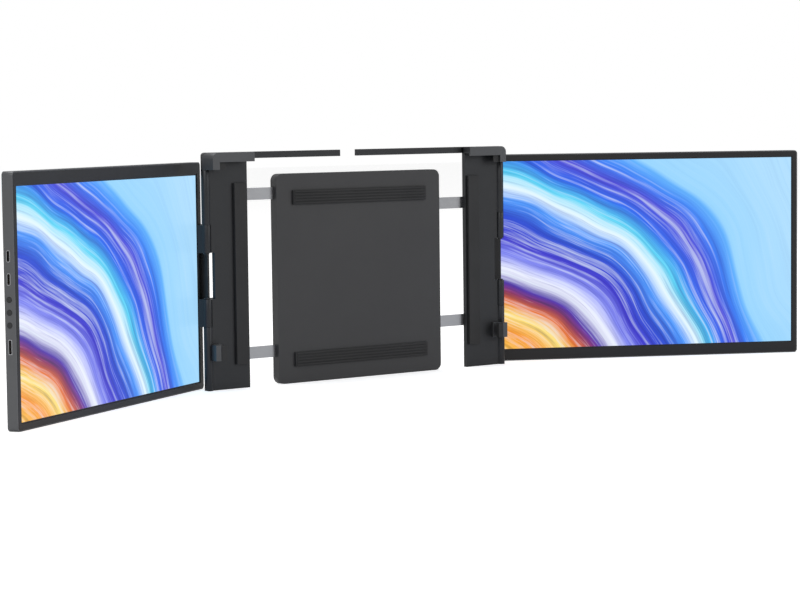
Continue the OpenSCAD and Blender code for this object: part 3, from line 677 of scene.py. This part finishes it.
@dataclass
class Monitor:
    """One portable monitor. Its own frame has x from the hinge edge outwards, y from
    the front face backwards and z from the edge with the wide chin."""

    side: Side
    width: float = 287.0
    hinge_bezel: float = 5.8
    chin: float = 9.8
    panel_lap: float = 1.5
    bezel_depth: float = 1.0
    port_y: float = 5.2
    tongue_inset: float = 1.2
    tongue_l: float = 5.2
    tongue_bevel: float = 0.1
    skin: float = 0.04
    contact_l: float = 3.0
    contact_back: float = 0.4
    contact_t: float = 0.06
    tongues: tuple[Tongue, ...] = (USB_C_TONGUE_LOW, USB_C_TONGUE_HIGH, MINI_HDMI_TONGUE)
    screen: ScreenFinish = field(default_factory=ScreenFinish)

    @property
    def body(self) -> str:
        """The body that the monitor's pieces ride on."""
        return f"{self.side.word}_monitor"

    def place(self) -> Matrix:
        """Row frame from the monitor's own frame, measured on its display panel.

        Returns:
            The matrix, in metres.
        """
        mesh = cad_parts[f"{self.side.word}_display_panel"].data
        back = max(mesh.polygons, key=lambda face: face.area).normal.copy()
        back.z = 0
        back.normalize()
        if back.y < 0:
            back.negate()
        rise = Vector((0, 0, self.side.value))
        out = back.cross(rise)
        corner = Vector((self.hinge_bezel - self.panel_lap, self.bezel_depth,
                         self.chin - self.panel_lap)) * MM
        origin = Vector()
        for axis, offset in zip((out, back, rise), corner):
            origin += axis * (min(point.co.dot(axis) for point in mesh.vertices) - offset)
        made = Matrix((out, back, rise)).transposed().to_4x4()
        made.translation = origin
        return made

    def picture_place(self, place: Matrix) -> Matrix:
        """Row frame from the picture's frame, x to the viewer's right and z up.

        Args:
            place: The monitor's place.

        Returns:
            The matrix, in metres.
        """
        corner = Matrix.Translation(Vector((self.hinge_bezel, 0, self.chin)) * MM)
        if self.side is Side.RIGHT:
            return place @ corner
        far = Vector((self.screen.width, 0, self.screen.height)) * MM
        turned = Matrix.Translation(far) @ Matrix.Rotation(math.pi, 4, "Y")
        return place @ corner @ turned

    def build(self) -> None:
        """Models the sockets' black tongues and their gold contacts."""
        place = self.place()
        tongues = join(f"{self.side.word}_socket_tongues",
                       [self.tongue_skin(tongue) for tongue in self.tongues])
        finish_piece(tongues, place, TONGUE_PLASTIC, self.body)
        contacts = join(f"{self.side.word}_socket_contacts",
                        [row for tongue in self.tongues for row in self.contact_rows(tongue)])
        finish_piece(contacts, place, CONTACT_GOLD, self.body)

    def tongue_skin(self, tongue: Tongue) -> bpy.types.Object:
        """Models the plastic round a tongue.

        Args:
            tongue: The tongue.

        Returns:
            The skin, in the monitor's own frame.
        """
        end = self.width - self.tongue_inset + self.skin
        half = Vector((0, tongue.thick / 2 + self.skin, tongue.long / 2 + self.skin))
        middle = Vector((end, self.port_y, tongue.centre_z))
        low = middle - half - Vector((self.tongue_l, 0, 0))
        return soft_block("tongue", low * MM, (middle + half) * MM, self.tongue_bevel * MM)

    def contact_rows(self, tongue: Tongue) -> list[bpy.types.Object]:
        """Models the contacts on both faces of a tongue, each sunk by a quarter.

        Args:
            tongue: The tongue.

        Returns:
            The contacts, in the monitor's own frame.
        """
        made = []
        end = self.width - self.tongue_inset - self.contact_back
        for face in (-1, 1):
            y = self.port_y + face * (tongue.thick / 2 + self.skin + self.contact_t / 4)
            for index in range(tongue.contacts):
                z = tongue.centre_z + (index - (tongue.contacts - 1) / 2) * tongue.pitch
                low = Vector((end - self.contact_l, y - self.contact_t / 2, z - tongue.contact_w / 2))
                high = Vector((end, y + self.contact_t / 2, z + tongue.contact_w / 2))
                made.append(soft_block("contact", low * MM, high * MM, self.contact_t / 6 * MM))
        return made

    def dress(self) -> None:
        """Gives the monitor's nodes their finishes."""
        word = self.side.word
        for node, finish in (
            ("rear_cover", SHELL_METAL),
            ("bezel", BEZEL_PLASTIC),
            ("backlight", LIGHT_TRAY),
            ("driver_board", CIRCUIT_BOARD),
            ("usb_c_ports", BRIGHT_STEEL),
            ("mini_hdmi_port", BRIGHT_STEEL),
            ("power_button", BUTTON_PLASTIC),
            ("up_button", BUTTON_PLASTIC),
            ("down_button", BUTTON_PLASTIC),
            ("button_switches", BLACK_PLASTIC),
            ("panel_ribbon", RIBBON_FILM),
            ("case_screws", BLACK_STEEL),
            ("hinge_arm", BRACKET_METAL),
            ("arm_screws", BLACK_STEEL),
        ):
            dress(f"{word}_{node}", finish)
        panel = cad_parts[f"{word}_display_panel"]
        panel.data.materials.clear()
        panel.data.materials.append(
            self.screen.material(f"{word}_screen", self.picture_place(self.place())))
        LOG.info("lit %s_display_panel", word)


# ---------------------------------------------------------------- the bracket


@dataclass
class BracketHalf:
    """One half of the telescoping bracket, with its hook, clip, bars and column."""

    side: Side

    def dress(self) -> None:
        """Gives the half's nodes their finishes."""
        for node, finish in (
            ("bracket", BRACKET_METAL),
            ("corner_hook", HOOK_METAL),
            ("lower_clip", HOOK_METAL),
            ("grip_pads", GRIP_RUBBER),
            ("slide_bars", BAR_METAL),
            ("bracket_screws", BLACK_STEEL),
            # The hinge pins and washers take the dark black steel as painted shade, standing in for
            # the shade in the groove between the knuckles.
            ("hinge_pins", BLACK_STEEL),
            ("hinge_washers", BLACK_STEEL),
        ):
            dress(f"{self.side.word}_{node}", finish)


@dataclass
class Centre:
    """The centre frame with its cover, guides, pads and kickstand."""

    rib_pitch: float = 2.4
    rib_w: float = 1.1
    rib_h: float = 0.3
    rib_sink: float = 0.2
    rib_bevel: float = 0.12
    rib_low: float = 0.6
    rib_high: float = 0.4
    foot_margin: float = 8.0
    pad_h: float = 12.0
    pad_bevel: float = 0.3
    pad_ridge: float = 0.6
    pad_ridges: int = 5
    ridge_share: float = 0.6
    ridge_sink: float = 0.4
    ridge_bevel: float = 0.25

    def build(self) -> None:
        """Models the pads and the foot."""
        self.build_pads()
        self.build_foot_ribs()

    def build_pads(self) -> None:
        """Models the rubber strips behind the lid, with ridges along them."""
        low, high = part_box("lid_pads")
        made = []
        pitch = self.pad_h * MM / self.pad_ridges
        half = self.ridge_share / 2 * pitch
        for bottom in (low.z, high.z - self.pad_h * MM):
            near = Vector((low.x, low.y + self.pad_ridge * MM, bottom))
            far = Vector((high.x, high.y, bottom + self.pad_h * MM))
            made.append(soft_block("pad", near, far, self.pad_bevel * MM))
            for index in range(self.pad_ridges):
                z = bottom + (index + 0.5) * pitch
                near = Vector((low.x + pitch / 2, low.y, z - half))
                far = Vector((high.x - pitch / 2, high.y - self.ridge_sink * MM, z + half))
                made.append(soft_block("ridge", near, far, self.ridge_bevel * MM))
        pads = join("ridged_lid_pads", made)
        finish_piece(pads, Matrix.Identity(4), GRIP_RUBBER, "centre")
        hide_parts("lid_pads")

    def build_foot_ribs(self) -> None:
        """Models the ribs on the rubber foot of the kickstand."""
        low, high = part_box("kickstand_foot")
        made = []
        half = self.rib_w * MM / 2
        count = int((high.x - low.x - self.foot_margin * MM) / (self.rib_pitch * MM))
        for index in range(count):
            x = (low.x + high.x) / 2 + (index - (count - 1) / 2) * self.rib_pitch * MM
            near = Vector((x - half, high.y - self.rib_sink * MM, low.z + self.rib_low * MM))
            far = Vector((x + half, high.y + self.rib_h * MM, high.z - self.rib_high * MM))
            made.append(soft_block("rib", near, far, self.rib_bevel * MM))
        finish_piece(join("foot_ribs", made), Matrix.Identity(4), GRIP_RUBBER, "kickstand")

    def dress(self) -> None:
        """Gives the centre's nodes their finishes."""
        for node, finish in (
            ("centre_frame", BLACK_PLASTIC),
            ("centre_cover", BLACK_PLASTIC),
            ("cover_screws", BLACK_STEEL),
            ("slide_guides", GUIDE_PLASTIC),
            ("kickstand", HOOK_METAL),
            ("kickstand_pins", BRIGHT_STEEL),
            ("kickstand_foot", GRIP_RUBBER),
        ):
            dress(node, finish)


# ---------------------------------------------------------------- the studio


@dataclass
class Lamp:
    """One soft lamp, aimed at a point."""

    name: str
    place: tuple[float, float, float]
    aim: tuple[float, float, float]
    width: float
    height: float
    power: float

    def build(self) -> None:
        """Adds the lamp."""
        data = bpy.data.lights.new(self.name, "AREA")
        data.shape = "RECTANGLE"
        data.size, data.size_y, data.energy = self.width, self.height, self.power
        lamp = bpy.data.objects.new(self.name, data)
        bpy.context.scene.collection.objects.link(lamp)
        lamp.location = self.place
        aim = Vector(self.aim) - Vector(self.place)
        lamp.rotation_euler = aim.to_track_quat("-Z", "Y").to_euler()


@dataclass
class Studio:
    """Floor, white surroundings, lamps and camera."""

    camera_place: tuple[float, float, float] = (-1.20308, -1.6474, 0.22414)
    camera_right: tuple[float, float, float] = (0.797089, -0.603747, -0.011804)
    camera_up: tuple[float, float, float] = (0.056161, 0.054654, 0.996925)
    lens: float = 107.485
    sensor: float = 36.0
    floor_size: float = 14.0
    floor_tone: float = 0.86
    floor_seen: float = 0.5
    floor_mirrored: float = 0.2
    ambient: float = 0.5
    mirrored: float = 0.8

    def build(self) -> None:
        """Builds the whole studio."""
        self.build_floor()
        self.build_world()
        self.build_lamps()
        self.build_camera()

    def build_floor(self) -> None:
        """Adds the pale floor, which keeps the object's shadow."""
        deselect()
        bpy.ops.mesh.primitive_plane_add(size=self.floor_size, location=(0, 0, 0))
        floor = bpy.context.object
        floor.name = "floor"
        paint = bpy.data.materials.new("floor_paint")
        paint.use_nodes = True
        tree = paint.node_tree
        shader = tree.nodes["Principled BSDF"]
        shader.inputs["Base Color"].default_value = (*(self.floor_tone,) * 3, 1)
        shader.inputs["Roughness"].default_value = 0.9
        shader.inputs["Specular IOR Level"].default_value = 0.1
        shader.inputs["Emission Color"].default_value = (1, 1, 1, 1)
        rays = tree.nodes.new("ShaderNodeLightPath")
        seen = math_node(tree, "MULTIPLY", rays.outputs["Is Camera Ray"], self.floor_seen)
        seen = math_node(
            tree, "MULTIPLY_ADD", rays.outputs["Is Glossy Ray"], self.floor_mirrored, seen)
        tree.links.new(seen, shader.inputs["Emission Strength"])
        floor.data.materials.append(paint)

    def build_world(self) -> None:
        """Sets soft surroundings that the camera and reflections see as white."""
        world = bpy.data.worlds.new("studio")
        bpy.context.scene.world = world
        world.use_nodes = True
        tree = world.node_tree
        back = tree.nodes["Background"]
        back.inputs["Color"].default_value = (1, 1, 1, 1)
        rays = tree.nodes.new("ShaderNodeLightPath")
        shown = math_node(tree, "MAXIMUM", rays.outputs["Is Camera Ray"],
                          rays.outputs["Is Transmission Ray"])
        shown = math_node(tree, "MAXIMUM", shown, math_node(
            tree, "MULTIPLY", rays.outputs["Is Glossy Ray"], self.mirrored))
        tree.links.new(math_node(tree, "MAXIMUM", shown, self.ambient), back.inputs["Strength"])

    def build_lamps(self) -> None:
        """Adds the key, fill and top lamps."""
        aim = (0.0, 0.0, 0.1)
        for lamp in (
            Lamp("key", (-2.0, -1.6, 1.8), aim, 1.6, 1.2, 24),
            Lamp("fill", (1.8, -2.2, 1.2), aim, 1.8, 1.2, 18),
            Lamp("top", (0.0, 0.6, 2.2), aim, 2.0, 1.0, 22),
        ):
            lamp.build()

    def build_camera(self) -> None:
        """Adds the camera at the photograph's place."""
        data = bpy.data.cameras.new("camera")
        data.lens, data.sensor_width = self.lens, self.sensor
        data.clip_start, data.clip_end = 0.05, 60
        camera = bpy.data.objects.new("camera", data)
        bpy.context.scene.collection.objects.link(camera)
        right, up = Vector(self.camera_right), Vector(self.camera_up)
        turn = Matrix((right, up, right.cross(up))).transposed().to_4x4()
        camera.matrix_world = Matrix.Translation(self.camera_place) @ turn
        bpy.context.scene.camera = camera


def main() -> None:
    """Builds and dresses the extender, then its studio."""
    logging.basicConfig(level=logging.INFO, format="%(name)s: %(message)s")
    bpy.context.scene.view_settings.view_transform = "Standard"
    deselect()
    for side in Side:
        monitor = Monitor(side)
        monitor.build()
        monitor.dress()
        BracketHalf(side).dress()
    centre = Centre()
    centre.build()
    centre.dress()
    Studio().build()


if __name__ == "__main__":
    main()
